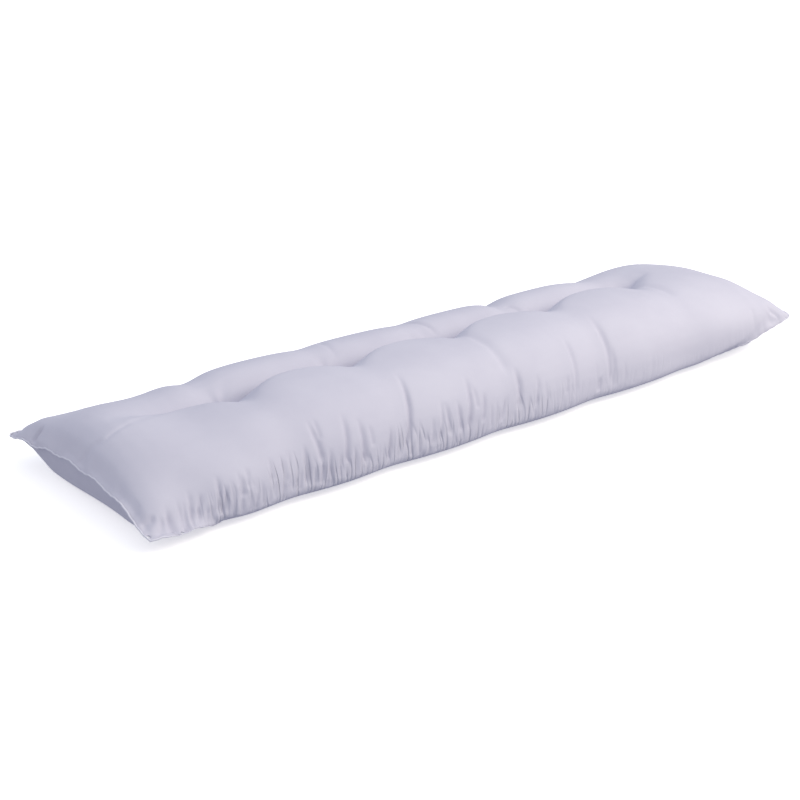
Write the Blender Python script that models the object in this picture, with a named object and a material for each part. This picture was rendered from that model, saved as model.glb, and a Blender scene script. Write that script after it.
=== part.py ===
"""Tufted body pillow lying on its back: two long panels sewn together and filled.

The pillow is one filled solid. Its long axis runs along X, its front long side faces -Y, and
its underside rests on z = 0. All sizes are in metres.
"""
import math
from collections import namedtuple

import bmesh
import bpy
import numpy as np

# The filled pillow
LENGTH = 1.485  # from one end seam to the other
END_WIDTH = 0.460  # along an end seam, from ear to ear
FRONT_HALF_WIDTH = 0.227
BACK_HALF_WIDTH = 0.183
FRONT_CROWN = 0.162  # height of the hump along the front half
BACK_CROWN = 0.135  # height of the hump along the back half
BACK_FALL = 0.019  # how much lower the back hump is at the right end than at the middle
WAIST = 0.18  # height of the widest line, as a share of the crown
BOW = 0.010  # how far the ends bend back from the middle
SEAM_TUCK = math.radians(40)  # how far under the widest line the side seams lie

# Roundness of a cross-section: 1 is an ellipse, less is boxier
ROUND_ACROSS = 0.85
ROUND_UP = 0.74
UNDER_DROP = 1.25  # how fast a side curves under to the surface, against its rise
UNDER_ROUND = 0.8
CREST_SHARE = 0.7  # share of the half width over which the front hump turns into the back hump

# The ends, where both panels close on a seam with an ear at each corner. Lengths are measured
# from the end seam: front_taper and back_taper up to the full crown, narrow up to the full
# width, settle up to where the side seams lie tucked under.
End = namedtuple("End", "front_taper back_taper fullness front_ear back_ear seam_lift settle narrow")
LEFT_END = End(
    front_taper=0.390, back_taper=0.453, fullness=2.1,
    front_ear=0.028, back_ear=0.049, seam_lift=0.035, settle=0.203, narrow=0.179,
)
RIGHT_END = End(
    front_taper=0.370, back_taper=0.341, fullness=1.67,
    front_ear=0.059, back_ear=0.030, seam_lift=0.027, settle=0.268, narrow=0.078,
)
SEAM_ARCH = 2.2  # power of the arch an end seam makes between its ears
END_DRAW = 0.006  # how far the filling draws the middle of an end seam inwards
END_DRAW_POWER = 8
UNDER_TAPER = 0.056  # from an end seam to where the underside meets the surface
UNDER_EDGE = 0.6  # how much of the underside's half width lifts off towards a side seam
EAR_PUFF = 0.009  # filling pushed into a corner
EAR_REACH = 0.045
EAR_PLACE = 0.032  # middle of a puffed corner, from both seams

# Tufts along the middle, where a stitch pulls both panels together, and the valley that
# joins them. The hump in front of the valley bulges over it between two tufts.
TUFT_PITCH = 0.231
MIDDLE_TUFT = 0.009  # place of the middle tuft along X
VALLEY_LINE = 0.008  # place of the tufts across the pillow
VALLEY_DEPTH = 0.065
TUFT_DEPTH = 0.012  # how much deeper a tuft is than the valley
TUFT_REACH = 0.098  # along the valley
TUFT_ROUND = 0.010  # radius of the bottom of a tuft
TUFT_FRONT_REACH = 0.133
LOBE_FRONT_REACH = 0.031
BACK_REACH = 0.070
FOLD_POWER = 1.56
VALLEY_START = 0.03  # from the left end seam
VALLEY_RISE = 0.27  # from its start to its full depth
VALLEY_END = 0.11  # from the last tuft

# Shallow crosswise furrows from each tuft to the side seams, and the notches where they
# draw the sides in. The front ones drift by lean towards the left on their way down.
Furrow = namedtuple("Furrow", "tuft lean")
FURROWS = [
    Furrow(tuft=-2, lean=0.010),
    Furrow(tuft=-1, lean=0.055),
    Furrow(tuft=0, lean=0.035),
    Furrow(tuft=1, lean=0.035),
    Furrow(tuft=2, lean=0.012),
]
LEAN_FROM = 0.3  # share of the way from the middle to the front seam where the drift starts
FURROW_DEPTH = 0.003
FURROW_REACH = 0.031
NOTCH_DEPTH = 0.007
NOTCH_REACH = 0.059
UNDER_TUFT_DEPTH = 0.014  # dimple under each tuft
UNDER_TUFT_REACH = 0.050
UNDER_TUFT_FLOOR = 0.1  # share of the dimple's depth that the flat underside cuts off

# The sewn edge that stands out from the seam
EDGE_WIDTH = 0.004
EDGE_THICKNESS = 0.003

# Rows of points: crosswise rows crowd towards the tufts, lengthwise rows towards the valley
END_STEPS = 12
LOBE_STEPS = 11
FRONT_STEPS = 20
BACK_STEPS = 13
CROWDING_ALONG = 0.4
CROWDING_ACROSS = 0.65
VALLEY_SHARE = 0.011  # place of the valley between the side seams, as a share of a half

CLOTH_COLOUR = (0.71, 0.69, 0.76, 1.0)


def signed_power(value, power):
    return np.sign(value) * np.abs(value) ** power


def mix(low, high, share):
    return low * (1 - share) + high * share


def ease(distance, reach):
    """0 to 1 over reach, flat at both ends."""
    share = np.clip(distance / reach, 0, 1)
    return share * share * (3 - 2 * share)


def soft(distance, reach):
    """1 in the middle of a furrow, falling smoothly to nothing at about twice its reach."""
    return np.exp(-((distance / reach) ** 2))


def rise(distance, reach, power=2):
    """0 at a seam and 1 from reach onwards, along a quarter of an ellipse."""
    share = np.clip(distance / reach, 0, 1)
    return (1 - (1 - share) ** power) ** (1 / power)


def fold(distance, reach):
    """1 along a sharp fold between two bulging lobes, 0 from reach onwards."""
    return 1 - rise(np.abs(distance), reach, FOLD_POWER)


def tuft_place(number):
    """Place along X of a tuft, numbered from the middle one."""
    return MIDDLE_TUFT + TUFT_PITCH * number


def near_tufts(x, reach):
    """1 level with a tuft, 0 from reach onwards, measured along the pillow."""
    near = 0
    for furrow in FURROWS:
        near = near + fold(np.hypot(x - tuft_place(furrow.tuft), TUFT_ROUND), reach)
    return near


def near_furrows(x, across, reach):
    """1 in the middle of a crosswise furrow, measured along the pillow."""
    low_front = np.clip((-across - LEAN_FROM) / (1 - LEAN_FROM), 0, 1) ** 2
    return sum(
        soft(x - tuft_place(furrow.tuft) + furrow.lean * low_front, reach) for furrow in FURROWS
    )


def crowd(steps):
    """Shares from 0 to 1 that crowd towards both of them."""
    even = np.linspace(0, 1, steps + 1)
    return mix(even, 0.5 - 0.5 * np.cos(even * math.pi), CROWDING_ALONG)


def places_along():
    """Where the crosswise rows lie along X, with a row on every tuft."""
    marks = [-LENGTH / 2, *(tuft_place(furrow.tuft) for furrow in FURROWS), LENGTH / 2]
    places = [marks[0]]
    for i, (start, end) in enumerate(zip(marks, marks[1:])):
        steps = END_STEPS if i in (0, len(marks) - 2) else LOBE_STEPS
        places.extend(mix(start, end, crowd(steps))[1:])
    return np.array(places)


def places_across():
    """Where the lengthwise rows lie, from -1 at the front seam to 1 at the back seam."""
    even = np.concatenate(
        [np.linspace(-1, 0, FRONT_STEPS + 1)[:-1], np.linspace(0, 1, BACK_STEPS + 1)]
    )
    crowded = mix(even, even * np.abs(even), CROWDING_ACROSS)
    return crowded + VALLEY_SHARE * (1 - crowded**2)


def section(along, across, tuck, upper):
    """Cross-section of the full pillow: sideways and upward positions."""
    turn = across * (math.pi / 2 + (tuck if upper else -tuck))
    side = signed_power(np.sin(turn), ROUND_ACROSS)
    over = np.cos(turn) if upper else -np.cos(turn)
    to_back = 0.5 + 0.5 * np.sin(np.clip(side / CREST_SHARE, -1, 1) * math.pi / 2)
    furrow = FURROW_DEPTH * near_furrows(along * LENGTH / 2, across, FURROW_REACH)
    notch = NOTCH_DEPTH * near_furrows(along * LENGTH / 2, across, NOTCH_REACH)
    crown = mix(FRONT_CROWN, BACK_CROWN - BACK_FALL * along, to_back) - furrow
    waist = WAIST * crown
    width = np.where(side < 0, FRONT_HALF_WIDTH, BACK_HALF_WIDTH) - notch - furrow / 2
    above = waist + (crown - waist) * np.abs(over) ** ROUND_UP
    below = np.maximum(waist * (1 - UNDER_DROP * np.abs(over) ** UNDER_ROUND), 0)
    return side * width, np.where(over >= 0, above, below)


def dents(x, y, upper):
    """How far the tufts pull a panel in, where y is measured from the valley."""
    if not upper:
        under = near_furrows(x, 0, UNDER_TUFT_REACH) * soft(y, UNDER_TUFT_REACH)
        return UNDER_TUFT_DEPTH * np.maximum(under - UNDER_TUFT_FLOOR, 0)
    near = near_tufts(x, TUFT_REACH)
    front_reach = mix(LOBE_FRONT_REACH, TUFT_FRONT_REACH, near)
    valley = fold(y, np.where(y < 0, front_reach, BACK_REACH))
    left_fade = ease(x + LENGTH / 2 - VALLEY_START, VALLEY_RISE)
    right_fade = 1 - ease(x - tuft_place(FURROWS[-1].tuft), VALLEY_END)
    depth = (VALLEY_DEPTH + TUFT_DEPTH * near) * left_fade * right_fade
    return depth * valley


def ear_puff(to_end, across):
    """Height of the filling pushed into each corner, nothing along the seams."""
    to_side = (1 - np.abs(across)) * END_WIDTH / 2
    from_middle = np.hypot(to_end - EAR_PLACE, to_side - EAR_PLACE)
    by_end = np.clip(to_end / EAR_REACH, 0, 1)
    by_side = np.clip(to_side / EAR_REACH, 0, 1)
    return EAR_PUFF * soft(from_middle, EAR_REACH) * np.sqrt(by_end * by_side)


def panel(upper):
    """Grid of points over one panel, first index along the length."""
    x, across = np.meshgrid(places_along(), places_across(), indexing="ij")
    along = x / (LENGTH / 2)
    to_end = LENGTH / 2 - np.abs(x)
    to_back = (1 + across) / 2

    def of_end(name):
        return np.where(x < 0, getattr(LEFT_END, name), getattr(RIGHT_END, name))

    # The full section, with its side seams tucked under once they settle
    settled = ease(to_end, of_end("settle"))
    body_y, body_z = section(along, across, SEAM_TUCK * settled, upper)
    side_seam_z = section(along, np.ones_like(x), SEAM_TUCK * settled, upper)[1]

    # Towards an end it narrows to the end seam, which arches from ear to ear
    y = mix(across * END_WIDTH / 2, body_y, ease(to_end, of_end("narrow")))
    end_seam_z = mix(of_end("front_ear"), of_end("back_ear"), to_back)
    end_seam_z = end_seam_z + of_end("seam_lift") * (1 - np.abs(across) ** SEAM_ARCH)
    seam_z = mix(end_seam_z, side_seam_z, settled)
    x = x - np.sign(x) * END_DRAW * (1 - across**2) * np.abs(along) ** END_DRAW_POWER
    pulled = dents(x, y - VALLEY_LINE, upper)
    if upper:
        taper = mix(of_end("front_taper"), of_end("back_taper"), to_back)
        full = rise(to_end, taper, of_end("fullness"))
        z = seam_z + full * (np.maximum(body_z - side_seam_z, 0) - pulled)
        z = z + ear_puff(to_end, across)
    else:
        inside = np.clip(np.cos(across * math.pi / 2) / UNDER_EDGE, 0, 1) ** UNDER_ROUND
        z = seam_z * (1 - rise(to_end, UNDER_TAPER) * inside) + pulled
    return np.stack([x, y - BOW * (0.5 - along**2), z], axis=-1)


def outward(rim):
    """Level unit directions that point out of a closed outline, one for each of its points."""
    along_rim = np.roll(rim, -1, axis=0) - np.roll(rim, 1, axis=0)
    out = np.stack([along_rim[:, 1], -along_rim[:, 0], np.zeros(len(rim))], axis=-1)
    return out / np.linalg.norm(out, axis=-1, keepdims=True)


def rim_places(last_i, last_j):
    """Grid places around a panel, anticlockwise seen from above, from the left front ear."""
    places = [(i, 0) for i in range(last_i)]
    places += [(last_i, j) for j in range(last_j)]
    places += [(i, last_j) for i in range(last_i, 0, -1)]
    places += [(0, j) for j in range(last_j, 0, -1)]
    return places


def add_panel(mesh, points, upper):
    """Add a panel's points and faces, and return its rows of vertices."""
    rows = [[mesh.verts.new(point) for point in row] for row in points]
    for row, next_row in zip(rows, rows[1:]):
        for a, b, c, d in zip(row, next_row, next_row[1:], row[1:]):
            mesh.faces.new((a, b, c, d) if upper else (d, c, b, a))
    return rows


def centre(mesh):
    """Move the mesh so that the middle of its bounding box is at x = 0 and y = 0."""
    places = np.array([vert.co for vert in mesh.verts])
    middle = (places.min(axis=0) + places.max(axis=0)) / 2
    bmesh.ops.translate(mesh, verts=mesh.verts, vec=(-middle[0], -middle[1], 0))


def pillow_mesh():
    """Both panels with the sewn edge between them, as one closed mesh."""
    top = panel(upper=True)
    bottom = panel(upper=False)
    places = rim_places(top.shape[0] - 1, top.shape[1] - 1)
    rim = np.array([top[place] for place in places])
    half_edge = np.array([0, 0, EDGE_THICKNESS / 2])
    for place, point in zip(places, rim):
        top[place] = point + half_edge
        bottom[place] = point - half_edge

    mesh = bmesh.new()
    top_rows = add_panel(mesh, top, upper=True)
    bottom_rows = add_panel(mesh, bottom, upper=False)
    outer = rim + outward(rim) * EDGE_WIDTH
    loops = [
        [bottom_rows[i][j] for i, j in places],
        [mesh.verts.new(point - half_edge) for point in outer],
        [mesh.verts.new(point + half_edge) for point in outer],
        [top_rows[i][j] for i, j in places],
    ]
    for low, high in zip(loops, loops[1:]):
        for i, vert in enumerate(low):
            mesh.faces.new((low[i - 1], vert, high[i], high[i - 1]))
    centre(mesh)
    data = bpy.data.meshes.new("pillow")
    mesh.to_mesh(data)
    mesh.free()
    return data


def cloth_material():
    material = bpy.data.materials.new("brushed_microfibre")
    material.use_nodes = True
    shader = material.node_tree.nodes["Principled BSDF"]
    shader.inputs["Base Color"].default_value = CLOTH_COLOUR
    shader.inputs["Roughness"].default_value = 0.9
    shader.inputs["Metallic"].default_value = 0.0
    return material


def main():
    for obj in list(bpy.data.objects):
        bpy.data.objects.remove(obj, do_unlink=True)
    data = pillow_mesh()
    data.materials.append(cloth_material())
    data.shade_smooth()
    pillow = bpy.data.objects.new("pillow", data)
    bpy.context.scene.collection.objects.link(pillow)


main()
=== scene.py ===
# %% [markdown]
# # A tufted body pillow
# The pillow is a long bag of brushed microfibre, stuffed with polyester fibre and pulled in by
# five stitches along its middle. The CAD solid already has its two long humps, the valley with
# the tufts, and the seams. This script dresses that solid: it blows the cloth up a little, lays
# the creases into it, sews on the edge, and gives everything a finish, a camera and a light.

import math
import random
from collections import namedtuple

import bmesh
import bpy
import numpy as np
from mathutils import Matrix, Vector, kdtree


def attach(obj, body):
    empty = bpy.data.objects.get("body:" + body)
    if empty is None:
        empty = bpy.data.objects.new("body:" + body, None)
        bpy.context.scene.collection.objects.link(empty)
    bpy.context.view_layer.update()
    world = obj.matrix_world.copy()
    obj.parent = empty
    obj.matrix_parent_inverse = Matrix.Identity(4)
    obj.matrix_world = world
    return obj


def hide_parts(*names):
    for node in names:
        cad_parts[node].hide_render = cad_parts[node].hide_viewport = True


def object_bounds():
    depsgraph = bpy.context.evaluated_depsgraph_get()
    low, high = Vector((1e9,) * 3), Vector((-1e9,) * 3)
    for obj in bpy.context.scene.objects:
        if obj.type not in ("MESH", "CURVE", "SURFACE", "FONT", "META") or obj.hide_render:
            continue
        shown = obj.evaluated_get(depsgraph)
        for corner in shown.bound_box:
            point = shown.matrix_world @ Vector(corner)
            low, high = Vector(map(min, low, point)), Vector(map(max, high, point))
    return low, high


MM = 0.001

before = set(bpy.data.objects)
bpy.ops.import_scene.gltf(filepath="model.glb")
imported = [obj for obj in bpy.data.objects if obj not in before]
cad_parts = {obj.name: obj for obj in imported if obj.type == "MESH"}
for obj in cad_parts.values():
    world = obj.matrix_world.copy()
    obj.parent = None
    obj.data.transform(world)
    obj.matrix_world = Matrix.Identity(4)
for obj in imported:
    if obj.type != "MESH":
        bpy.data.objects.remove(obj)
cad_low, cad_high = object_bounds()
print("CAD box, mm:", [round(side / MM) for side in cad_high - cad_low])

# %% [markdown]
# ## Camera
# The pillow is seen from its left end and a little above. A camera can be turned by hand, or
# given a target, a turn and a height as here, so that the framing reads as plain numbers. The
# long lens keeps the far end from shrinking too much.

# %% Place the camera
CAMERA_TARGET = Vector((-0.1316, -0.0788, 0.060))
CAMERA_DISTANCE = 3.318
CAMERA_TURN = math.radians(-38.3)
CAMERA_RISE = math.radians(22.74)
SENSOR_MM = 36
LENS_MM = 83.4


def direction(turn, rise):
    """Unit direction from the pillow towards a place around it: turn 0 is in front of it."""
    level = math.cos(rise)
    return Vector((math.sin(turn) * level, -math.cos(turn) * level, math.sin(rise)))


def add_camera():
    towards = direction(CAMERA_TURN, CAMERA_RISE)
    right = Vector((math.cos(CAMERA_TURN), math.sin(CAMERA_TURN), 0))
    up = towards.cross(right)
    data = bpy.data.cameras.new("camera")
    data.sensor_width = SENSOR_MM
    data.lens = LENS_MM
    camera = bpy.data.objects.new("camera", data)
    turned = Matrix((right, up, towards)).transposed().to_4x4()
    turned.translation = CAMERA_TARGET + towards * CAMERA_DISTANCE
    camera.matrix_world = turned
    bpy.context.scene.collection.objects.link(camera)
    bpy.context.scene.camera = camera
    return camera


camera = add_camera()
print("camera stands at", [round(c, 3) for c in camera.matrix_world.translation])

# %% [markdown]
# ## The stuffed cushion
# A filled cushion could be shaped by hand with a subdivision surface, but cloth under pressure
# finds the taut slopes between stitches by itself. So the CAD mesh is copied, its narrow sewn
# edge is closed to a plain knife edge, and the copy is remeshed into small even squares that
# cloth can work with.

# %% Copy the solid and close its edge
EDGE_REACH = 5.3 * MM  # the sewn edge is 4 mm wide and 3 mm thick, so 5 mm from corner to corner
EDGE_RISE = 2.8 * MM  # an upright of the 3 mm thick edge rises at least this much
EDGE_SPAN = 3.2 * MM  # and is no longer than this
SAME_PLACE = 0.01 * MM
VOXEL = 5 * MM


def joined_copy(node):
    """The node's mesh, with points at the same place joined."""
    mesh = bmesh.new()
    mesh.from_mesh(node.data)
    bmesh.ops.remove_doubles(mesh, verts=mesh.verts, dist=SAME_PLACE)
    return mesh


def uprights(mesh):
    """The short upright sides that run once round the sewn edge."""
    return [
        edge for edge in mesh.edges
        if abs(edge.verts[0].co.z - edge.verts[1].co.z) > EDGE_RISE
        and edge.calc_length() < EDGE_SPAN
    ]


def copy_without_edge(node):
    """A copy of the node's mesh whose sewn edge is pinched to a line."""
    mesh = joined_copy(node)
    outer = {vert for edge in uprights(mesh) for vert in edge.verts}
    around = outer | {edge.other_vert(vert) for vert in outer for edge in vert.link_edges}
    in_order = sorted(around, key=lambda vert: vert.index)
    bmesh.ops.remove_doubles(mesh, verts=in_order, dist=EDGE_REACH)
    data = bpy.data.meshes.new("cushion")
    mesh.to_mesh(data)
    mesh.free()
    return data


def seam_points(node):
    """The line of the seam once around the pillow, starting at the left front ear."""
    mesh = joined_copy(node)
    points = [(edge.verts[0].co + edge.verts[1].co) / 2 for edge in uprights(mesh)]
    mesh.free()
    line = [min(points, key=lambda p: p.x + p.y)]
    points.remove(line[0])
    while points:
        nearest = min(points, key=lambda p: (p - line[-1]).length)
        points.remove(nearest)
        line.append(nearest)
    return line


def new_piece(name, data):
    piece = bpy.data.objects.new(name, data)
    bpy.context.scene.collection.objects.link(piece)
    return piece


def baked(piece):
    """Replace the piece's mesh with what its modifiers make of it."""
    graph = bpy.context.evaluated_depsgraph_get()
    data = bpy.data.meshes.new_from_object(piece.evaluated_get(graph))
    piece.modifiers.clear()
    old, piece.data = piece.data, data
    bpy.data.meshes.remove(old)
    return piece


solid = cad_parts["pillow"]
seam_line = seam_points(solid)
cushion = new_piece("cushion", copy_without_edge(solid))
remesh = cushion.modifiers.new("even squares", "REMESH")
remesh.mode = "VOXEL"
remesh.voxel_size = VOXEL
baked(cushion)
print("seam points:", len(seam_line), " cushion faces:", len(cushion.data.polygons))

# %% [markdown]
# ## Filling it
# Cloth with an inner pressure swells like a stuffed bag. The points that a stitch, a seam or
# the surface underneath holds are pinned. The movement is then evened out between neighbours,
# because a taut pillow has no stray wrinkles, and capped, so the cushion keeps the shape of the
# solid. The two ends are less full, and keep their shape.

# %% Pin the stitched places and blow the cloth up
Tuft = namedtuple("Tuft", "x y")
TUFTS = [
    Tuft(-0.453, 0.004), Tuft(-0.222, 0.001), Tuft(0.009, 0.000), Tuft(0.240, 0.001),
    Tuft(0.471, 0.004),
]
TUFT_HELD = 12 * MM
UNDERSIDE = 20 * MM
END_HELD = 20 * MM
PRESSURE = 4
FRAMES = 20
EVENING_ROUNDS = 20
MOST_MOVED = 12 * MM
FRONT_SWELL = 0.8  # share of the movement kept at the front
BACK_SWELL = 0.25
SWELL_CHANGE = 0.10  # m from front to back over which the one turns into the other
FULL_PART = 0.50  # m from the middle: the cloth swells fully up to here
SLACK_PART = 0.64  # and not at all beyond here


def places(data):
    """All points of a mesh as one array."""
    flat = np.empty(len(data.vertices) * 3)
    data.vertices.foreach_get("co", flat)
    return flat.reshape(-1, 3)


def put_places(data, points):
    data.vertices.foreach_set("co", points.ravel())
    data.update()


def soft(share):
    """Ease a share between 0 and 1 in and out."""
    share = np.clip(share, 0, 1)
    return share * share * (3 - 2 * share)


def held_share(points):
    """How firmly each point is pinned, from 0 to 1."""
    x, y, z = points.T
    held = np.clip(1 - z / UNDERSIDE, 0, 1)
    for tuft in TUFTS:
        away = np.hypot(x - tuft.x, y - tuft.y) / TUFT_HELD
        held = np.maximum(held, np.where(z > UNDERSIDE, np.clip(1.5 - away, 0, 1), 0))
    to_end = cad_high.x - np.abs(x)
    return np.maximum(held, np.clip(1.2 - to_end / END_HELD, 0, 1))


def blown(piece):
    """Run the cloth under pressure, and return how each point of the piece moves."""
    start = places(piece.data)
    group = piece.vertex_groups.new(name="held")
    held = held_share(start)
    for i in np.flatnonzero(held > 0):
        group.add([int(i)], float(held[i]), "REPLACE")
    cloth = piece.modifiers.new("filling", "CLOTH")
    cloth.settings.use_pressure = True
    cloth.settings.uniform_pressure_force = PRESSURE
    cloth.settings.effector_weights.gravity = 0
    cloth.settings.vertex_group_mass = "held"
    cloth.point_cache.frame_start = 1
    cloth.point_cache.frame_end = FRAMES
    scene = bpy.context.scene
    scene.frame_start, scene.frame_end = 1, FRAMES
    for number in range(1, FRAMES + 1):
        scene.frame_set(number)
    baked(piece)
    piece.vertex_groups.clear()
    return places(piece.data) - start


def evened(data, moved, rounds):
    """A movement averaged over neighbouring points, a number of times."""
    ends = np.empty(len(data.edges) * 2, dtype=int)
    data.edges.foreach_get("vertices", ends)
    one, other = ends.reshape(-1, 2).T
    near, far = np.append(one, other), np.append(other, one)
    count = np.bincount(near, minlength=len(moved))
    for _ in range(rounds):
        sums = [np.bincount(near, moved[far, axis], len(moved)) for axis in range(3)]
        moved = np.stack([total / count for total in sums], 1)
    return moved


def inflate(piece):
    """Swell the piece, and return the furthest that the cloth itself moved."""
    start = places(piece.data)
    moved = blown(piece)
    moved = evened(piece.data, moved, EVENING_ROUNDS)
    length = np.linalg.norm(moved, axis=1, keepdims=True)
    moved *= np.minimum(1, MOST_MOVED / np.maximum(length, 0.01 * MM))
    kept = BACK_SWELL + (FRONT_SWELL - BACK_SWELL) * soft(0.5 - start[:, 1] / SWELL_CHANGE)
    kept *= soft((SLACK_PART - np.abs(start[:, 0])) / (SLACK_PART - FULL_PART))
    put_places(piece.data, start + moved * kept[:, None])
    return float(length.max())


print("cloth moved by up to", round(inflate(cushion) / MM, 1), "mm")

smoother = cushion.modifiers.new("finer", "SUBSURF")
smoother.levels = smoother.render_levels = 1
baked(cushion)
print("cushion faces now:", len(cushion.data.polygons))

# %% [markdown]
# ## Drawing the cloth to its seam
# The even squares have rounded the knife edge and the four ears off. Here the edge is drawn out
# again to the line of the seam: the nearest points are caught on the seam, the cloth beside them
# follows, and the cloth closest to the seam is evened out. Then it is puckered a little, as a
# sewn seam shrinks more than the cloth beside it. Ears come out as points, which a plain
# subdivision surface would lose. Each row of a Lift table raises or lowers one stretch, because
# no two ears of a stuffed pillow hang alike.

# %% Draw the edge out to the seam
SEAM_STEP = 3 * MM
SEAM_PULL = 18 * MM
PULL_ROUNDS = 6
FOLLOW_ROUNDS = 8
FLAP_REACH = 10 * MM
FLAP_ROUNDS = 5
SMOOTHING_ROUNDS = 14
PUCKER_DEPTH = 0.5 * MM
PUCKER_REACH = 9 * MM
PUCKER_LENGTH = 13 * MM
PUCKER_START = 2 * MM
Lift = namedtuple("Lift", "x y height reach")
LIFTS = [
    Lift(0.745, -0.225, 16 * MM, 0.085), Lift(0.680, -0.060, -4 * MM, 0.05),
    Lift(0.650, -0.215, -12 * MM, 0.08), Lift(-0.730, 0.190, 5 * MM, 0.07),
]
SEAM_SHIFTS = [  # of the seam alone
    Lift(0.715, -0.225, -10 * MM, 0.05), Lift(-0.743, 0.150, -9 * MM, 0.06),
    Lift(-0.743, -0.140, 6 * MM, 0.09),
]
SAGS = [Lift(-0.715, 0.090, 8 * MM, 0.12), Lift(0.640, -0.165, -16 * MM, 0.08)]  # downward
SAG_FLOOR = 12 * MM
SAG_CLEAR = 40 * MM
CORNER_ROUNDS = 14
LIFT_FLOOR = 20 * MM
WAVE_HEIGHT = 2.2 * MM
WAVE_LENGTH = 85 * MM
WAVE_SWING = 1.5  # how unevenly the waves follow each other


def evenly(line, step):
    """Points at even steps along a closed line, and how far along it each one lies."""
    loop = np.array([tuple(p) for p in line] + [tuple(line[0])])
    along = np.append(0, np.cumsum(np.linalg.norm(np.diff(loop, axis=0), axis=1)))
    stations = np.arange(0, along[-1], step)
    return np.stack([np.interp(stations, along, loop[:, axis]) for axis in range(3)], 1), stations


def tree_of(points):
    tree = kdtree.KDTree(len(points))
    for i, point in enumerate(points):
        tree.insert(point, i)
    tree.balance()
    return tree


def facing(data):
    """The normals of all points of a mesh as one array."""
    flat = np.empty(len(data.vertices) * 3)
    data.vertex_normals.foreach_get("vector", flat)
    return flat.reshape(-1, 3)


def near_seam(points, by_seam):
    """For each point, the number of the nearest seam point and how far away it is."""
    found = [by_seam.find(point) for point in points]
    nearest = np.array([index for _, index, _ in found])
    return nearest, np.array([distance for _, _, distance in found])


def smooth_inside(piece, seam):
    """Even out the flats of the solid, but leave the thin cloth beside the seam alone."""
    points = places(piece.data)
    away = near_seam(points, tree_of(seam))[1]
    share = soft((away - SEAM_PULL) / SEAM_PULL)[:, None]
    points += (evened(piece.data, points, SMOOTHING_ROUNDS) - points) * share
    put_places(piece.data, points)


def caught_points(points, seam):
    """The number of the point nearest to each place on the seam."""
    by_point = tree_of(points)
    return np.array([by_point.find(place)[1] for place in seam])


def draw_to_seam(piece, seam):
    """Pull the nearest points onto the seam, and let the cloth beside them follow."""
    points = places(piece.data)
    beside = np.flatnonzero(near_seam(points, tree_of(seam))[1] < SEAM_PULL)
    for _ in range(PULL_ROUNDS):
        caught = beside[caught_points(points[beside], seam)]
        shared = np.bincount(caught, minlength=len(points))
        pull = seam - points[caught]
        pulls = [np.bincount(caught, pull[:, axis], len(points)) for axis in range(3)]
        pulled = np.stack(pulls, 1)[caught] / shared[caught][:, None]
        moved = np.zeros_like(points)
        for _ in range(FOLLOW_ROUNDS):
            moved[caught] = pulled
            moved = evened(piece.data, moved, 1)
        points += moved
    near = near_seam(points, tree_of(seam))[1] < FLAP_REACH
    near[caught] = False
    for _ in range(FLAP_ROUNDS):
        points[near] = evened(piece.data, points, 1)[near]
    put_places(piece.data, points)


def pucker(piece, seam, stations):
    """Ripple the cloth beside the seam."""
    points = places(piece.data)
    nearest, away = near_seam(points, tree_of(seam))
    wave = stations[nearest] / PUCKER_LENGTH
    ripple = np.sin(2 * np.pi * wave + 2 * np.sin(wave)) + 0.6 * np.sin(4.3 * wave)
    ripple *= np.exp(-away / PUCKER_REACH) * (1 - np.exp(-away / PUCKER_START))
    points += facing(piece.data) * (PUCKER_DEPTH * ripple)[:, None]
    put_places(piece.data, points)


def lifted(points, lifts):
    """The points moved up or down near each lift, as far as they stand clear of the floor."""
    points = points.copy()
    for lift in lifts:
        away = np.hypot(points[:, 0] - lift.x, points[:, 1] - lift.y) / lift.reach
        points[:, 2] += lift.height * np.exp(-away ** 2) * soft(points[:, 2] / LIFT_FLOOR)
    return points


def sag(piece, seam):
    """Let the underside hang lower near the left end, where the filling rests, and less right."""
    points = places(piece.data)
    downward = soft(-facing(piece.data)[:, 2] / 0.5) * soft(points[:, 2] / SAG_FLOOR)
    downward *= soft(near_seam(points, tree_of(seam))[1] / SAG_CLEAR)
    for lift in SAGS:
        away = np.hypot(points[:, 0] - lift.x, points[:, 1] - lift.y) / lift.reach
        points[:, 2] -= lift.height * np.exp(-away ** 2) * downward
    put_places(piece.data, points)


def rounded(loop, rounds):
    """A closed line of points whose corners are worn round."""
    for _ in range(rounds):
        loop = (np.roll(loop, 1, 0) + loop * 2 + np.roll(loop, -1, 0)) / 4
    return loop


seam, stations = evenly(seam_line, SEAM_STEP)
seam = lifted(rounded(seam, CORNER_ROUNDS), LIFTS + SEAM_SHIFTS)
wave = np.sin(stations / WAVE_LENGTH * 2 * np.pi + WAVE_SWING * np.sin(stations * 7))
wave *= soft(seam[:, 2] / LIFT_FLOOR) * soft(0.5 - seam[:, 0])
seam[:, 2] += WAVE_HEIGHT * wave
put_places(cushion.data, lifted(places(cushion.data), LIFTS))
sag(cushion, seam)
smooth_inside(cushion, seam)
draw_to_seam(cushion, seam)
pucker(cushion, seam, stations)
by_cushion = tree_of(places(cushion.data))
gap = max(by_cushion.find(place)[2] for place in seam)
print("edge stands off the cushion by up to, mm:", round(gap / MM, 1))
print("seam length, m:", round(float(stations[-1]), 2))
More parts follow.
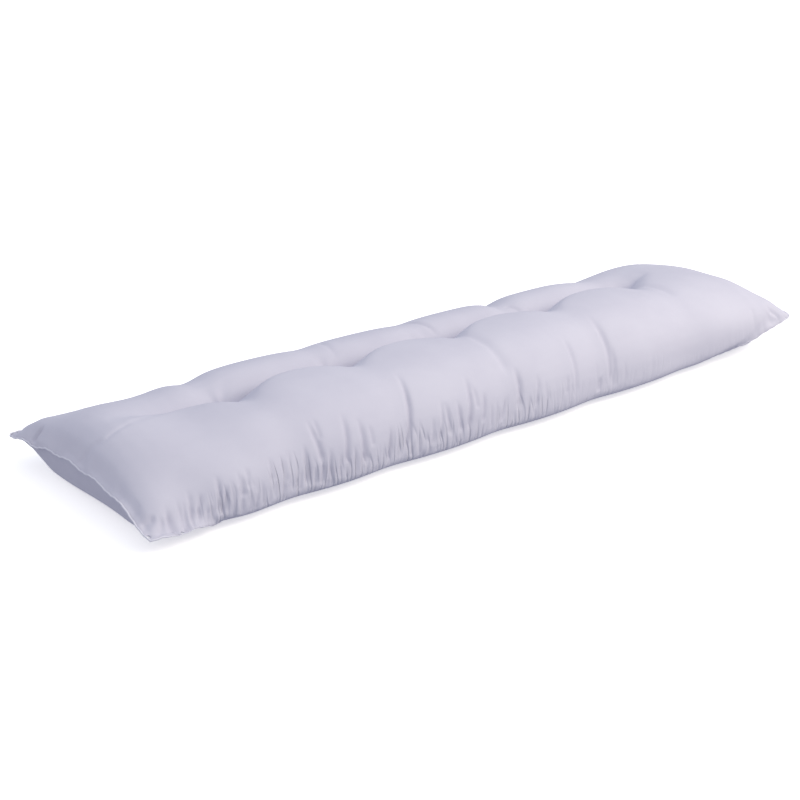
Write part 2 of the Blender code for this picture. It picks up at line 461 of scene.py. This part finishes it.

# %% [markdown]
# ## Creases
# Three kinds of crease run over the cloth. Folds run round the pillow, from a tuft down over the
# front, or up from the seam where the cloth is gathered. Draws run straight across an ear or along
# the top. Each has its own row, in the places that show. Between the folds lie many fine gathers,
# uneven in place and length, dense at the left and thinning to the right. A crease is a soft
# trough, steeper on its left side, where the cloth rolls over into it. Two values are kept on every
# point for the cloth material: how deep its crease is, which sets the painted shade in the narrower
# creases, and whether it lies where the cloth is gathered.

# %% Lay the creases
AXIS_HEIGHT = 0.050
Fold = namedtuple("Fold", "x lean top foot depth width")  # mm, and degrees round: 0 front, 90 top
FOLDS = [
    Fold(-696, -4, 6, -14, 1.8, 5), Fold(-674, -5, 7, -12, 1.2, 4),
    Fold(-651, -8, 9, -5, 1.0, 4), Fold(-634, -16, 7, -6, 1.3, 4), Fold(-601, -10, 13, -5, 1.7, 4),
    Fold(-590, -18, 8, -6, 1.5, 4), Fold(-561, -5, 10, 0, 1.5, 4), Fold(-549, -5, 13, 3, 0.9, 4),
    Fold(-503, -3, 14, 2, 1.0, 4), Fold(-481, 4, 13, -1, 1.0, 4), Fold(-433, -8, 15, -5, 1.8, 4),
    Fold(-409, 2, 25, 3, 2.0, 5), Fold(-398, -2, 25, 13, 0.9, 4), Fold(-404, -10, 7, -6, 1.3, 4),
    Fold(-389, -14, 11, -9, 1.6, 4), Fold(-345, -20, 24, 0, 2.0, 5), Fold(-320, -4, 20, -3, 1.9, 5),
    Fold(-303, -1, 15, 4, 0.9, 4), Fold(-260, -14, 12, -6, 1.6, 4), Fold(-241, -10, 8, -6, 1.0, 4),
    Fold(-195, -42, 36, -5, 2.6, 4.5), Fold(-172, -8, 10, -4, 1.1, 4),
    Fold(-146, -20, 17, -4, 1.4, 4),
    Fold(-139, -3, 15, -2, 1.6, 4), Fold(-114, -3, 14, -2, 1.7, 4), Fold(-77, -24, 24, -2, 2.1, 5),
    Fold(-70, -4, 18, 6, 1.0, 4), Fold(-52, -14, 14, -1, 1.5, 4), Fold(-4, -18, 8, -4, 1.3, 4),
    Fold(19, -2, 60, 14, 1.3, 9), Fold(36, -13, 21, -1, 2.0, 5), Fold(74, -14, 15, -2, 0.9, 4),
    Fold(141, -7, 10, 0, 0.8, 4), Fold(171, -14, 30, -3, 1.2, 5), Fold(264, -15, 38, -5, 1.8, 6),
    Fold(268, -12, 17, -6, 0.9, 4), Fold(228, -8, 3, -5, 1.2, 4), Fold(497, 6, 66, 30, 1.3, 10),
    Fold(40, -24, 106, 150, 1.3, 5), Fold(256, -18, 112, 132, 0.9, 5),
    Fold(-190, 10, 110, 145, 0.8, 6),
    Fold(225, 0, 100, 172, 4.0, 28), Fold(-470, 0, 100, 172, 2.5, 30),
]
Draw = namedtuple("Draw", "x1 y1 x2 y2 depth width")  # mm, seen from above
DRAWS = [
    Draw(-748, 160, -724, 142, 7.0, 4.5), Draw(-739, 0, -704, -33, 2.0, 5),
    Draw(-704, -33, -650, -31, 1.5, 5), Draw(-650, -31, -560, -10, 1.2, 8),
    Draw(-741, -199, -718, -204, 4.5, 6), Draw(-724, -228, -707, -210, 4.5, 7),
    Draw(-706, -230, -698, -206, 4.0, 4), Draw(-681, -234, -668, -210, 3.0, 4),
    Draw(712, -226, 694, -212, 4.0, 4), Draw(712, -234, 680, -224, 4.0, 5),
    Draw(650, -211, 641, -228, 0.8, 4), Draw(718, 214, 700, 196, 2.0, 4),
    Draw(-716, 216, -700, 196, 1.8, 4),
]
GATHER_SEED = 12
GATHER_FROM, GATHER_TO = -0.665, 0.36
GATHER_PITCH = (8 * MM, 15 * MM)
GATHER_DEPTH = (0.5, 1.3)  # mm
GATHER_WIDTHS = (2.4, 3.4)  # mm
GATHER_LEANS = (1, 9)  # mm
GATHER_TOPS = (-1, 12)  # degrees round
GATHER_FEET = (-9, -5)  # degrees round
GATHER_RISE = 11  # degrees round
FOLD_STRENGTH = 2.3
# The next two values set the painted shade in the creases: the width below which a fold gets it,
# and the depth at which it is full.
WIDE_FOLD = 7  # mm: only narrower folds look darker inside
PAINTED_SHADE_FULL_DEPTH = 4 * MM
CREASE_CLEAR = 10 * MM
LEFT_SIDE = 0.8
RIGHT_SIDE = 1.25
FADE_AT_TOP = 0.45  # share of a fold's length over which it fades out
FADE_AT_FOOT = 0.2
TUFT_PLEATS = 1.6 * MM
TUFT_PLEAT_REACH = 16 * MM


def trough(offset, width):
    """The share of its depth that a trough has at an offset from its middle."""
    side = np.where(offset > 0, RIGHT_SIDE, LEFT_SIDE) * width
    return np.exp(-(offset / side) ** 2)


def fold_depth(x, round_angle, fold):
    """How deep a fold that runs round the pillow is at each point."""
    along = (fold.top - round_angle) / (fold.top - fold.foot)
    middle = (fold.x + fold.lean * np.clip(along, 0, 1) ** 1.5) * MM
    fade = soft(along / FADE_AT_TOP) * soft((1 - along) / FADE_AT_FOOT)
    return FOLD_STRENGTH * fold.depth * MM * fade * trough(x - middle, fold.width * MM)


def draw_depth(x, y, draw):
    """How deep a straight draw is at each point."""
    start = np.array([draw.x1, draw.y1]) * MM
    run = np.array([draw.x2, draw.y2]) * MM - start
    length = np.hypot(*run)
    dx, dy = x - start[0], y - start[1]
    along = (dx * run[0] + dy * run[1]) / length ** 2
    across = (dx * run[1] - dy * run[0]) / length
    fade = soft(along / 0.3 + 0.5) * soft((1 - along) / 0.5 + 0.3)
    return draw.depth * MM * fade * trough(across, draw.width * MM)


def fine_gathers():
    """Small folds at uneven steps along the front."""
    chance = random.Random(GATHER_SEED)
    x = GATHER_FROM
    gathers = []
    while x < GATHER_TO:
        rightward = (x - GATHER_FROM) / (GATHER_TO - GATHER_FROM)
        top = chance.uniform(*GATHER_TOPS) + 2 * math.sin(9 * rightward)
        depth = chance.uniform(*GATHER_DEPTH) * (1 - 0.6 * rightward)
        lean = -chance.uniform(*GATHER_LEANS)
        foot = chance.uniform(*GATHER_FEET)
        gathers.append(Fold(x / MM, lean, top, foot, depth, chance.uniform(*GATHER_WIDTHS)))
        x += chance.uniform(*GATHER_PITCH) * (1 + rightward)
    return gathers


def tuft_pleats(x, y, tuft):
    """Uneven pleats that run out from a tuft like the spokes of a wheel."""
    away = np.hypot(x - tuft.x, y - tuft.y)
    heading = np.arctan2(y - tuft.y, x - tuft.x)
    spokes = 0.6 * np.cos(5 * heading + 9 * tuft.x) + 0.4 * np.cos(8 * heading + 31 * tuft.x)
    reach = away / TUFT_PLEAT_REACH
    return TUFT_PLEATS * spokes * reach * np.exp(1 - reach)


def gathered_share(x, y, round_angle):
    """Where the finest gathers lie, from 0 to 1: low on the front, and more to the left."""
    rightward = (x - GATHER_FROM) / (GATHER_TO - GATHER_FROM)
    rise = GATHER_RISE * (1 - 0.5 * rightward)
    height = rise + 3 * np.sin(x / (43 * MM)) + 2 * np.sin(x / (19 * MM) + 1)
    share = soft((height - round_angle) / 9) * soft((round_angle + 16) / 5) * np.where(y < 0, 1, 0)
    return share * soft(rightward / 0.06) * (1 - 0.85 * soft((rightward - 0.6) / 0.4))


def lay_creases(piece, seam):
    """Press every crease into the piece, keep its two values, one of them the mask for the painted
    shade in the creases, and return the depths.
    """
    points = places(piece.data)
    x, y, z = points.T
    normals = facing(piece.data)
    round_angle = np.degrees(np.arctan2(z - AXIS_HEIGHT, -y))
    depth = np.zeros(len(points))
    # Depths of the narrower folds alone, kept for the painted shade in the creases.
    creases = np.zeros(len(points))
    for fold in FOLDS + fine_gathers():
        fold_depths = fold_depth(x, round_angle, fold)
        depth += fold_depths
        if fold.width < WIDE_FOLD:
            creases += fold_depths
    upper = soft(normals[:, 2] / 0.3 + 0.5)
    for draw in DRAWS:
        depth += draw_depth(x, y, draw) * upper
    for tuft in TUFTS:
        depth += tuft_pleats(x, y, tuft) * np.where(z > UNDERSIDE, 1, 0)
    depth *= soft(near_seam(points, tree_of(seam))[1] / CREASE_CLEAR)
    points -= normals * depth[:, None]
    put_places(piece.data, points)
    gathered = piece.data.attributes.new("gathered", "FLOAT", "POINT")
    gathered.data.foreach_set("value", gathered_share(x, y, round_angle))
    # The crease value is the mask for the painted shade in the creases.
    shaded = piece.data.attributes.new("crease", "FLOAT", "POINT")
    shaded.data.foreach_set("value", np.clip(creases / PAINTED_SHADE_FULL_DEPTH, 0, 1))
    return depth


depth = lay_creases(cushion, seam)
print("deepest crease, mm:", round(float(depth.max()) / MM, 1), " gathers:", len(fine_gathers()))

# %% [markdown]
# ## The sewn edge
# Two panels sewn face to face and turned out leave a thin rounded edge. It is a curve with a
# round bevel, laid along the seam and thinner along the long sides. A little wander keeps it
# from looking like a wire.

# %% Sew the edge
EDGE_RADIUS = 1.5 * MM
EDGE_OUT = 0.3 * MM
EDGE_WANDER = 0.6 * MM
LENGTHWISE = 0.3  # how much less than sideways the pillow's length counts in outward
EDGE_THINNING = 0.55  # share of its radius that the edge loses along the long sides
EDGE_THINS_OVER = 40 * MM


def sewn_edge(seam, stations):
    """A thin round edge laid along the seam."""
    curve = bpy.data.curves.new("sewn_edge", "CURVE")
    curve.dimensions = "3D"
    curve.bevel_depth = EDGE_RADIUS
    curve.bevel_resolution = 2
    spline = curve.splines.new("POLY")
    spline.use_cyclic_u = True
    spline.points.add(len(seam) - 1)
    for point, place, station in zip(spline.points, seam, stations):
        wander = EDGE_WANDER * math.sin(station / PUCKER_LENGTH * 4.1 + 2 * math.sin(station * 9))
        height = max(place[2] + wander, EDGE_RADIUS)
        outward = place[:2] / np.linalg.norm(place[:2] * (LENGTHWISE, 1)) * EDGE_OUT
        point.co = (place[0] + outward[0] * LENGTHWISE, place[1] + outward[1], height, 1)
        to_end = cad_high.x - abs(place[0])
        point.radius = 1 - EDGE_THINNING * soft(to_end / EDGE_THINS_OVER - 0.5)
    guide = new_piece("seam_guide", curve)
    graph = bpy.context.evaluated_depsgraph_get()
    data = bpy.data.meshes.new_from_object(guide.evaluated_get(graph))
    bpy.data.objects.remove(guide)
    return new_piece("sewn_edge", data)


edge = sewn_edge(seam, stations)
print("edge faces:", len(edge.data.polygons))

# %% [markdown]
# ## Cloth
# Brushed microfibre is a plain weave of very fine polyester threads whose faces are scuffed
# until they lift into a nap. Light grazing the nap comes back as a pale sheen, and the colour
# shifts a little where the nap lies differently. The threads are finer than the render can
# show, so the weave is drawn coarser, as a faint grain. Two short helpers come first: one for
# colours, one that adds a node with its values and links in a single call.

# %% Two helpers for materials


def linear(hex_colour):
    """A colour picked as sRGB hex, as the linear values that a shader works with."""
    shares = [int(hex_colour[i:i + 2], 16) / 255 for i in (1, 3, 5)]
    return [s / 12.92 if s <= 0.04045 else ((s + 0.055) / 1.055) ** 2.4 for s in shares] + [1.0]


def add_node(tree, kind, settings=None, values=None, links=None):
    """Add a node, set its settings and input values, and link (node, output) pairs to it."""
    node = tree.nodes.new(kind)
    for name, value in (settings or {}).items():
        setattr(node, name, value)
    for name, value in (values or {}).items():
        node.inputs[name].default_value = value
    for name, (source, output) in (links or {}).items():
        tree.links.new(source.outputs[output], node.inputs[name])
    return node


print("white as linear values:", linear("#ffffff"))

# %% [markdown]
# ## The finest gathers
# Beside a sewn seam the cloth is gathered more finely than the mesh has points for. These
# gathers are relief in the material: noise stretched along the cloth crosses its middle value
# along thin winding lines, and each line becomes a valley. The value kept on each point fades
# them out where the cloth lies smooth.

# %% Draw the finest gathers
GATHER_WIDTH = 16 * MM
GATHER_LENGTH = 110 * MM
GATHER_LEAN = math.radians(9)
GATHER_RELIEF = 1.7 * MM
VALLEY_FROM, VALLEY_TO = -0.03, 0.11


def gather_relief(tree, where):
    """Height of the finest gathers: long narrow valleys along a stretched noise's middle."""
    gathered = add_node(tree, "ShaderNodeAttribute", {"attribute_name": "gathered"})
    squeeze = (1 / GATHER_WIDTH, 1 / GATHER_LENGTH, 1 / GATHER_LENGTH)
    stretched = add_node(
        tree, "ShaderNodeMapping",
        values={"Rotation": (0, GATHER_LEAN, 0), "Scale": squeeze},
        links={"Vector": (where, "Object")},
    )
    noise = add_node(
        tree, "ShaderNodeTexNoise", values={"Scale": 1, "Detail": 1, "Roughness": 0.4},
        links={"Vector": (stretched, "Vector")},
    )
    centred = add_node(
        tree, "ShaderNodeMath", {"operation": "SUBTRACT"}, {1: 0.5}, {0: (noise, "Fac")},
    )
    side = add_node(
        tree, "ShaderNodeMath", {"operation": "ABSOLUTE"}, links={0: (centred, "Value")},
    )
    valley = add_node(
        tree, "ShaderNodeMapRange", {"interpolation_type": "SMOOTHERSTEP"},
        {"From Min": VALLEY_FROM, "From Max": VALLEY_TO, "To Min": -1.0, "To Max": 0.0},
        {"Value": (side, "Value")},
    )
    return add_node(
        tree, "ShaderNodeMath", {"operation": "MULTIPLY"},
        links={0: (valley, "Result"), 1: (gathered, "Fac")},
    )


print("finest gathers, mm:", round(GATHER_WIDTH / MM), "by", round(GATHER_LENGTH / MM))

# %% [markdown]
# ## The cloth's finish
# The base colour drifts between a lighter and a deeper lilac, broadly with the lie of the nap and
# finely with the grain. The creases get painted shade: a deeper colour is mixed in where a narrow
# fold lies, standing for the little light that gets into it. High roughness and a little sheen make
# it matt with a soft bloom. The sewn edge is the same cloth with a paler pair of colours, a painted
# highlight for the light that its thin rounded ridge catches.

# %% Make the cloth material
CLOTH_LIGHT = "#cac8d5"
CLOTH_DEEP = "#c4c2d0"
# The next two values are painted shade: a deeper colour mixed into the narrower creases, for the
# little light that gets into them.
CREASE_PAINTED_SHADE_COLOUR = "#a19eb0"
CREASE_PAINTED_SHADE_SHARE = 0.13
# The next two colours are a painted highlight: the sewn edge is made paler, for the light that its
# thin ridge catches.
PAINTED_HIGHLIGHT_EDGE_PALE = "#dcdbe5"
PAINTED_HIGHLIGHT_EDGE_DARKER = "#d4d3de"
NAP = 120 * MM  # how far the nap lies one way before it turns
GRAIN = 1.6 * MM  # drawn thread spacing: the real one is about 0.15 mm
GRAIN_RELIEF = 0.3 * MM
GRAIN_SHARE = 0.35
DEEP_AT, LIGHT_AT = 0.45, 0.85
CLOTH_ROUGHNESS = 0.9
CLOTH_IOR = 1.45
SHEEN = 0.05


def brushed_microfibre(name, light, deep):
    """The cloth material between two colours, with its nap, grain and gathers, and painted shade in
    the creases.
    """
    material = bpy.data.materials.new(name)
    material.use_nodes = True
    tree = material.node_tree
    tree.nodes.clear()
    where = add_node(tree, "ShaderNodeTexCoord")
    nap = add_node(
        tree, "ShaderNodeTexNoise",
        values={"Scale": 1 / NAP, "Detail": 3, "Roughness": 0.6},
        links={"Vector": (where, "Object")},
    )
    grain = add_node(
        tree, "ShaderNodeTexNoise",
        values={"Scale": 1 / GRAIN, "Detail": 2, "Roughness": 0.6},
        links={"Vector": (where, "Object")},
    )
    both = add_node(
        tree, "ShaderNodeMath", {"operation": "MULTIPLY_ADD"}, {1: GRAIN_SHARE},
        {0: (grain, "Fac"), 2: (nap, "Fac")},
    )
    colour = add_node(tree, "ShaderNodeValToRGB", links={"Fac": (both, "Value")})
    colour.color_ramp.elements[0].position = DEEP_AT
    colour.color_ramp.elements[0].color = linear(deep)
    colour.color_ramp.elements[1].position = LIGHT_AT
    colour.color_ramp.elements[1].color = linear(light)
    # Painted shade: the crease value mixes the deeper colour into the creases.
    crease = add_node(tree, "ShaderNodeAttribute", {"attribute_name": "crease"})
    share = add_node(
        tree, "ShaderNodeMath", {"operation": "MULTIPLY"}, {1: CREASE_PAINTED_SHADE_SHARE},
        {0: (crease, "Fac")},
    )
    shaded = add_node(
        tree, "ShaderNodeMixRGB", values={"Color2": linear(CREASE_PAINTED_SHADE_COLOUR)},
        links={"Fac": (share, "Value"), "Color1": (colour, "Color")},
    )
    bump = add_node(
        tree, "ShaderNodeBump", values={"Strength": 0.25, "Distance": GRAIN_RELIEF},
        links={"Height": (grain, "Fac")},
    )
    pleated = add_node(
        tree, "ShaderNodeBump", values={"Strength": 1.0, "Distance": GATHER_RELIEF},
        links={"Height": (gather_relief(tree, where), "Value"), "Normal": (bump, "Normal")},
    )
    shader = add_node(
        tree, "ShaderNodeBsdfPrincipled",
        values={
            "Roughness": CLOTH_ROUGHNESS, "IOR": CLOTH_IOR,
            "Sheen Weight": SHEEN, "Sheen Roughness": 0.5,
        },
        links={"Base Color": (shaded, "Color"), "Normal": (pleated, "Normal")},
    )
    add_node(tree, "ShaderNodeOutputMaterial", links={"Surface": (shader, "BSDF")})
    return material


cloth = brushed_microfibre("brushed_microfibre", CLOTH_LIGHT, CLOTH_DEEP)
# The edge's paler copy of the cloth material is a painted highlight.
edge_cloth_painted_highlight = brushed_microfibre("edge_microfibre_painted_highlight", PAINTED_HIGHLIGHT_EDGE_PALE, PAINTED_HIGHLIGHT_EDGE_DARKER)
for piece, material in ((cushion, cloth), (edge, edge_cloth_painted_highlight)):
    piece.data.materials.clear()
    piece.data.materials.append(material)
    piece.data.shade_smooth()
    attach(piece, "root")
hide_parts("pillow")
print("materials:", cloth.name, "on the cushion and", edge_cloth_painted_highlight.name, "on the edge")

# %% [markdown]
# ## Floor and light
# The pillow lies on a plain pale floor under a broad soft light from the front right, as from a
# large studio softbox. Pale light comes from all around, brighter from the side where the
# studio is lit and dimmer from below, where the cloth would see little but shade. Broad light
# keeps the shadows of the folds soft. The floor glows a little, as a white sweep lit by its own
# lamps does, so that it stays nearly white beside the pillow. It is hidden from the light that
# bounces, or it would wash out the shade under the seam.

# %% Lay the floor and hang the light
FLOOR_COLOUR = "#fbfbfc"
FLOOR_SIDE = 240
FLOOR_GLOW_COLOUR = "#fffcf6"
FLOOR_GLOW = 0.45
FLOOR_DROP = 0.5 * MM
FLOOR_ROUGHNESS = 0.95
LIT_SIDE = Vector((-0.60, -0.80, 0))
LIT_COLOUR = "#fbfcff"
FAR_COLOUR = "#ccd4e7"
BELOW_COLOUR = "#a0a4b8"
AROUND_STRENGTH = 0.93
SOFTBOX_PLACE = Vector((2.2, -2.5, 2.5))
SOFTBOX_SIDE = 2.0
SOFTBOX_WATTS = 97
SOFTBOX_COLOUR = "#fff6e4"


def add_floor():
    mesh = bmesh.new()
    bmesh.ops.create_grid(mesh, x_segments=1, y_segments=1, size=FLOOR_SIDE / 2)
    bmesh.ops.translate(mesh, verts=mesh.verts, vec=(0, 0, -FLOOR_DROP))
    data = bpy.data.meshes.new("floor")
    mesh.to_mesh(data)
    mesh.free()
    floor = new_piece("floor", data)
    paint = bpy.data.materials.new("matt_white_floor")
    paint.use_nodes = True
    shader = paint.node_tree.nodes["Principled BSDF"]
    shader.inputs["Base Color"].default_value = linear(FLOOR_COLOUR)
    shader.inputs["Roughness"].default_value = FLOOR_ROUGHNESS
    shader.inputs["Emission Color"].default_value = linear(FLOOR_GLOW_COLOUR)
    shader.inputs["Emission Strength"].default_value = FLOOR_GLOW
    data.materials.append(paint)
    floor.visible_diffuse = False
    return floor


def add_light():
    world = bpy.data.worlds.new("studio")
    bpy.context.scene.world = world
    world.use_nodes = True
    tree = world.node_tree
    where = add_node(tree, "ShaderNodeTexCoord")
    height = add_node(tree, "ShaderNodeSeparateXYZ", links={"Vector": (where, "Generated")})
    above = add_node(
        tree, "ShaderNodeMath", {"operation": "GREATER_THAN"}, {1: 0.0}, {0: (height, "Z")},
    )
    towards = add_node(
        tree, "ShaderNodeVectorMath", {"operation": "DOT_PRODUCT"}, {1: LIT_SIDE},
        {0: (where, "Generated")},
    )
    share = add_node(
        tree, "ShaderNodeMapRange", values={"From Min": -1.0, "From Max": 1.0},
        links={"Value": (towards, "Value")},
    )
    walls = add_node(tree, "ShaderNodeValToRGB", links={"Fac": (share, "Result")})
    walls.color_ramp.elements[0].color = linear(FAR_COLOUR)
    walls.color_ramp.elements[1].color = linear(LIT_COLOUR)
    all_round = add_node(
        tree, "ShaderNodeMixRGB", values={"Color1": linear(BELOW_COLOUR)},
        links={"Fac": (above, "Value"), "Color2": (walls, "Color")},
    )
    around = tree.nodes["Background"]
    around.inputs["Strength"].default_value = AROUND_STRENGTH
    tree.links.new(all_round.outputs["Color"], around.inputs["Color"])
    data = bpy.data.lights.new("softbox", "AREA")
    data.size = SOFTBOX_SIDE
    data.energy = SOFTBOX_WATTS
    data.color = linear(SOFTBOX_COLOUR)[:3]
    softbox = bpy.data.objects.new("softbox", data)
    softbox.location = SOFTBOX_PLACE
    softbox.rotation_euler = (-SOFTBOX_PLACE).to_track_quat("-Z", "Y").to_euler()
    bpy.context.scene.collection.objects.link(softbox)


add_floor()
add_light()
bpy.context.scene.view_settings.view_transform = "Standard"
print("softbox:", SOFTBOX_WATTS, "W and", SOFTBOX_SIDE, "m wide")
